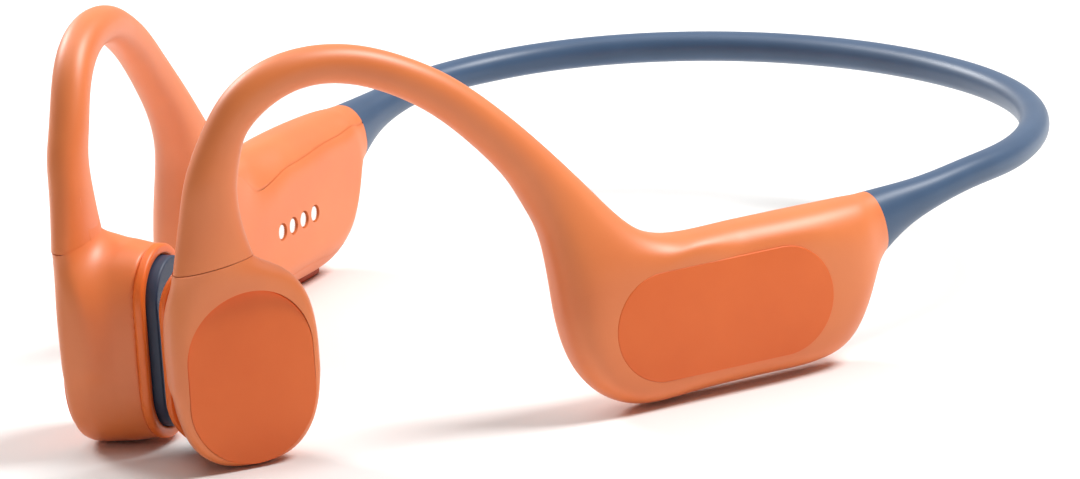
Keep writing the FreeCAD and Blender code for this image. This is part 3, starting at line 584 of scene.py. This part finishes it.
def caseField(back, up, out):
    # below zero inside: the tapering body, cut by its two faces, runs softly into the hook's neck
    shape = case["body"]
    halfWide, halfTall, middle, shift, power = (
        np.interp(out, shape[:, 0], column) for column in shape[:, 1:].T)
    body = ovalDistance(back - shift, up - middle, halfWide, halfTall, power)
    body = softMax(body, out - case["depth"], case["outerRounding"])
    body = softMax(body, case["front"] - out, case["rimRounding"])
    shape = case["neck"]
    sizes = splineThrough(shape[:, 0], shape[:, 1:], np.ravel(up)).T
    along, deep, halfLong, halfThick, power = sizes.reshape((5,) + up.shape)
    # far above its last row the neck has no size: the distance isn't a number there, which counts as outside
    with np.errstate(invalid="ignore"):
        neck = ovalDistance(back - along, out - deep, halfLong, halfThick, power)
    neck = softMax(neck, case["neckFrom"] - up, case["neckFade"])
    return -softMax(-body, -neck, case["blend"])


def caseSkin(name, side):
    # rays from a point inside: they start at the hook's seam, fan out from it and meet opposite it;
    # halving the span finds where each one leaves the case
    rows = caseFrame(side)
    seam = hookRings(side, slice(0, 1), case["columns"])[0] - (0, 0, case["seamGap"])
    local = (seam - rows[0]) @ rows[1].T * (side, 1, 1)
    start = np.array(case["rayStart"])
    first = unit(local - start)
    pole = -unit(first.mean(axis=0))
    angle = np.arccos(np.clip(first @ pole, -1, 1))
    share = np.linspace(0, 1, case["rows"])[:-1, None] ** case["crowding"]
    rays = (np.sin((1 - share) * angle)[..., None] * first + np.sin(share * angle)[..., None] * pole)
    rays = unit(rays / np.sin(angle)[None, :, None])
    near, far = np.zeros(rays.shape[:2]), np.full(rays.shape[:2], case["reach"])
    for halving in range(case["halvings"]):
        middle = (near + far) / 2
        spot = start + rays * middle[..., None]
        inside = caseField(spot[..., 0], spot[..., 1], spot[..., 2]) < 0
        near, far = np.where(inside, middle, near), np.where(inside, far, middle)
    points = start + rays * near[..., None]
    points[0] = local
    return ringMesh(name, place(points * (side, 1, 1), rows))


def caseSlot(name, side, height, width, profile, shift=0.0, back=0.0):
    # a profile carried round a slot that stands on end in the case's frame
    return slotPiece(name, caseFrame(side), height, width, profile, upright=True, shift=shift,
                     aside=side * back)


def buildCase(name, side):
    # skin less the plate's seat and the transducer's chamber; only the left plate is a key, with room
    # under it for its travel
    body = name + "_side"
    skin = caseSkin(name + "_case_skin", side)
    floor = case["depth"] - facet["thickness"] - facet["travel"] - facet["clearance"]
    seat = caseSlot("seat", side, facet["height"], facet["width"], [(0, floor), (0, case["clear"])],
                    -facet["drop"], facet["back"])
    room = caseSlot("chamber", side, chamber["height"], chamber["width"],
                    [(0, chamber["start"]), (0, case["front"] + chamber["depth"])])
    show(carve(skin, [seat, room]), finishes["softTouchOrange"], body, "shell_silicone",
         name + "_speaker_case")
    keyBody, node = ("key", "multifunction_key") if side > 0 else ("right_side", "right_speaker_plate")
    low = floor + (facet["travel"] + facet["clearance"] if side > 0 else 0)
    key = caseSlot(name + "_case_plate", side, facet["height"] - 2 * facet["gap"],
                   facet["width"] - 2 * facet["gap"],
                   roundedProfile(low, case["depth"] + facet["proud"], facet["edge"]), -facet["drop"],
                   facet["back"])
    show(key, finishes["satinPlateOrange"], keyBody, "plate_plastic", node)


def buildPad(name, side):
    # the lip, the gasket inside it and the pad on the gasket, each a profile round an upright slot
    body = name + "_side"
    front = -rim["proud"]
    back = rim["depth"] - rim["proud"]
    # the lip: out along its front with both corners rounded, then back down inside to the case
    turn = np.linspace(0, math.pi / 2, 7)
    corner = rim["corner"]
    outer = np.stack([corner * (1 - np.cos(turn)), front + corner * (1 - np.sin(turn))], axis=1)
    inner = np.stack([rim["lip"] - corner * (1 - np.cos(turn[::-1])),
                      front + corner * (1 - np.sin(turn[::-1]))], axis=1)
    profile = [(rim["heelInset"], back), (0.0, back - rim["heel"])] + outer.tolist() + inner.tolist()
    profile += [(rim["lip"], back)]
    lip = caseSlot(name + "_lip", side, rim["height"], rim["width"], profile)
    show(lip, finishes["lipOrange"], body, "lip_plastic", name + "_speaker_rim")
    inset = 2 * rim["lip"] + 2 * pad["gap"]
    tall, wide = rim["height"] - inset, rim["width"] - inset
    gasket = caseSlot(name + "_gasket_ring", side, tall, wide,
                      [(0, back), (0, back - pad["gasket"]), (pad["gasketWidth"], back - pad["gasket"]),
                       (pad["gasketWidth"], back)])
    show(gasket, finishes["gasketRubber"], body, "gasket_rubber", name + "_speaker_gasket")
    top = front - pad["proud"]
    bend = np.stack([pad["edge"] * (1 - np.cos(turn)), top + pad["edge"] * (1 - np.sin(turn))], axis=1)
    profile = [(0.0, back - pad["gasket"])] + bend.tolist() + [(inset, top) for inset in pad["flat"]]
    face = caseSlot(name + "_cheek_pad", side, tall, wide, profile)
    show(face, finishes["padNavy"], body, "pad_silicone", name + "_speaker_pad")


for sideName, side in sides.items():
    buildCase(sideName, side)
    buildPad(sideName, side)
print("speaker cases made")


# ---- neckband

band = {"width": 43.6, "back": 63.74, "level": 17.2, "sleeve": 1.8, "columns": 72, "step": 0.5,
        "strand": 0.625, "wire": 0.5, "cable": 0.45, "reach": 8.0, "strandStep": 1.0,
        "middle": 29.0, "power": 2.15, "spans": 8, "rise": 0.5,   # the curve round the back of the head
        "leadIn": ((42.0, 14.4, 14.8), (42.6, 17.5, 15.7), (43.2, 21.5, 16.4)),
        "flare": (1.0, 0.55, 0.2), "seamHigh": 3.79, "seamWide": 2.8, "sleevePower": 2.1,
        "bendFrom": 0.040, "bendTo": 0.0165}   # m, where the blend across each hinge starts and ends


def bandPoints(side):
    # from the pod's seam a short lead-in, then a quarter of a superellipse to the middle of the back
    middle, power = band["middle"], band["power"]
    steps = np.arange(band["spans"] + 1)
    turn = np.radians(steps * 90 / band["spans"])
    curve = np.stack([side * band["width"] * np.cos(turn) ** (2 / power),
                      middle + (band["back"] - middle) * np.sin(turn) ** (2 / power),
                      band["level"] + band["rise"] * steps / band["spans"]], axis=1)
    curve[-1, 0] = 0.0
    return np.concatenate([np.array(band["leadIn"]) * (side, 1, 1), curve])


def bandRings():
    # one ring at each point, square to the line; the first and last are the pods' own end sections
    points = np.concatenate([bandPoints(1), bandPoints(-1)[-2::-1]])
    last = len(points) - 1
    near = np.minimum(np.arange(last + 1), last - np.arange(last + 1))
    flare = np.array(band["flare"])
    share = np.where(near < len(flare), flare[np.minimum(near, len(flare) - 1)], 0.0)
    index = np.arange(last + 1)
    ahead = points[np.minimum(index + 1, last)] - points[np.maximum(index - 1, 0)]
    across = unit(np.stack([ahead[:, 1], -ahead[:, 0], np.zeros(last + 1)], axis=1))
    up = -unit(np.cross(ahead, across))
    high = band["sleeve"] + (band["seamHigh"] - band["sleeve"]) * share
    wide = band["sleeve"] + (band["seamWide"] - band["sleeve"]) * share
    rings = superRings(points, up, across, high, wide, np.full(last + 1, band["sleevePower"]),
                       band["columns"])
    rings[0] = hookRings(1, slice(-1, None), band["columns"])[0]
    rings[-1] = hookRings(-1, slice(-1, None), band["columns"])[0]
    return rings


def strandRings(rise, radius, count=24):
    # a round strand through the sleeve, a little over or under its middle, running on into each pod
    left, right = bandPoints(1), bandPoints(-1)
    inward = unit(left[0] - left[1]) * band["reach"]
    left[0] += inward
    right[0] += inward * (-1, 1, 1)
    points = np.concatenate([left, right[-2::-1]]) + (0, 0, rise)
    ahead = unit(np.gradient(points, axis=0))
    across = unit(np.cross(ahead, (0, 0, 1)))
    ones = np.ones(len(points))
    return superRings(points, np.cross(across, ahead), across, radius * ones, radius * ones, 2 * ones, count)


def bandPiece(name, rings, step, material, slot, side, *nodes):
    # one half of a strand or of the sleeve, from its own side's pod to the middle of the band; the slot is
    # not used
    middle = len(rings) // 2
    stop = (0, middle) if side > 0 else (middle, len(rings) - 1)
    piece = ringMesh(name, alongRings(rings, step, stop))
    piece.data.materials.append(finishes[material])
    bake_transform(piece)
    if side > 0:
        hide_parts(*nodes)


sleeveRings = bandRings()
wireRings = strandRings(band["strand"], band["wire"])
cableRings = strandRings(-band["strand"], band["cable"])
for sideName, side in sides.items():
    bandPiece(sideName + "_neckband_half", sleeveRings, band["step"], "softTouchNavy", "band_silicone", side,
              "neckband_sleeve")
    bandPiece(sideName + "_neckband_wire_half", wireRings, band["strandStep"], "titaniumWire",
              "titanium_wire", side, "neckband_wire")
    bandPiece(sideName + "_neckband_cable_half", cableRings, band["strandStep"], "cableJacket",
              "cable_jacket", side, "neckband_cable")
print("neckband made")


# ---- finishes of the inner pieces that stay as they are

inside = {
    "hook_wire": "titaniumWire", "hook_lead": "cableJacket", "spring_plate": "springSteel",
    "voice_coil": "copperWinding", "magnet_yoke": "yokeSteel", "drive_magnet": "magnetNickel",
    "key_switch": "chipResin", "volume_switches": "chipResin", "microphone": "magnetNickel",
    "battery_cell": "cellFoil", "battery_board": "solderMaskGreen", "main_board": "solderMaskGreen",
    "bluetooth_chip": "chipResin", "port_magnets": "magnetNickel",
}
for nodeName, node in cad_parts.items():
    finish = inside.get(nodeName) or inside.get(nodeName.split("_", 1)[1])
    if finish and not node.hide_render:
        for spot in node.material_slots:
            spot.material = finishes[finish]
print("inner pieces finished")


# ---- floor, lights and camera

studio = {
    "floor": "F4F3F1", "floorReach": 6000.0, "floorLevel": -0.02, "world": "FFFFFF",
    "worldStrength": 0.12,
    "glossyStrength": 0.65,   # what shiny surfaces see of the white studio round them
    # name, azimuth and elevation of the lamp in degrees, distance in m, size in m, power in W
    "lamps": (("keySoftbox", 136, 56, 0.8, 0.34, 6.6), ("topSoftbox", -90, 76, 0.8, 0.8, 2.2),
              ("leftSoftbox", -92, 34, 0.7, 0.25, 3.0)),
}
view = {"target": (0.0, 0.003, 0.010), "azimuth": 44.44, "elevation": 14.87, "roll": -4.27, "distance": 1.3,
        "lens": 372.7, "sensor": 36.0, "clipStart": 0.05, "clipEnd": 20.0}


def direction(azimuth, elevation):
    # azimuth 0 is in front of the object, elevation is above the horizon
    a, e = math.radians(azimuth), math.radians(elevation)
    return np.array([math.sin(a) * math.cos(e), -math.cos(a) * math.cos(e), math.sin(e)])


def aim(thing, origin, backward, roll=0.0):
    # stands a lamp or camera at a point, looking against the backward direction, turned by the roll
    right = unit(np.cross((0, 0, 1), backward))
    up = np.cross(backward, right)
    c, s = math.cos(math.radians(roll)), math.sin(math.radians(roll))
    axes = np.stack([right * c + up * s, up * c - right * s, backward], axis=1)
    pose = np.eye(4)
    pose[:3, :3], pose[:3, 3] = axes, origin
    thing.matrix_world = Matrix(pose.tolist())


def buildStudio():
    # a wide pale floor, a dim white world that shiny surfaces see more brightly, and the softboxes
    floorMaterial = mouldedPolymer("paperFloor", studio["floor"], studio["floor"], 0.75, grain=0.8,
                                   grainDepth=0.01, patch=60)
    reach, level = studio["floorReach"], studio["floorLevel"]
    corners = np.array([(-reach, -reach, level), (reach, -reach, level), (reach, reach, level),
                        (-reach, reach, level)])
    mesh = bpy.data.meshes.new("studio_floor")
    mesh.from_pydata((corners * mm).tolist(), [], [(0, 1, 2, 3)])
    floor = bpy.data.objects.new("studio_floor", mesh)
    floor.data.materials.append(floorMaterial)
    bpy.context.scene.collection.objects.link(floor)
    world = bpy.data.worlds.new("studioWorld")
    world.use_nodes = True
    sky = world.node_tree.nodes["Background"]
    sky.inputs["Color"].default_value = hexToLinear(studio["world"])
    rays = addNode(world.node_tree, "ShaderNodeLightPath")
    strength = addNode(world.node_tree, "ShaderNodeMapRange",
                       {"To Min": studio["worldStrength"], "To Max": studio["glossyStrength"]},
                       Value=rays.outputs["Is Glossy Ray"])
    world.node_tree.links.new(strength.outputs["Result"], sky.inputs["Strength"])
    bpy.context.scene.world = world
    for name, azimuth, elevation, distance, size, power in studio["lamps"]:
        lamp = bpy.data.lights.new(name, "AREA")
        lamp.shape = "DISK"
        lamp.size = size
        lamp.energy = power
        holder = bpy.data.objects.new(name, lamp)
        bpy.context.scene.collection.objects.link(holder)
        way = direction(azimuth, elevation)
        aim(holder, np.array(view["target"]) + way * distance, way)


def buildCamera():
    # a long lens that looks at the target from its direction and distance
    lens = bpy.data.cameras.new("camera")
    lens.lens = view["lens"]
    lens.sensor_width = view["sensor"]
    lens.clip_start = view["clipStart"]
    lens.clip_end = view["clipEnd"]
    camera = bpy.data.objects.new("camera", lens)
    bpy.context.scene.collection.objects.link(camera)
    way = direction(view["azimuth"], view["elevation"])
    aim(camera, np.array(view["target"]) + way * view["distance"], way, view["roll"])
    bpy.context.scene.camera = camera


buildStudio()
buildCamera()
bpy.context.scene.view_settings.view_transform = "Standard"
bpy.context.view_layer.update()
print("scene ready")
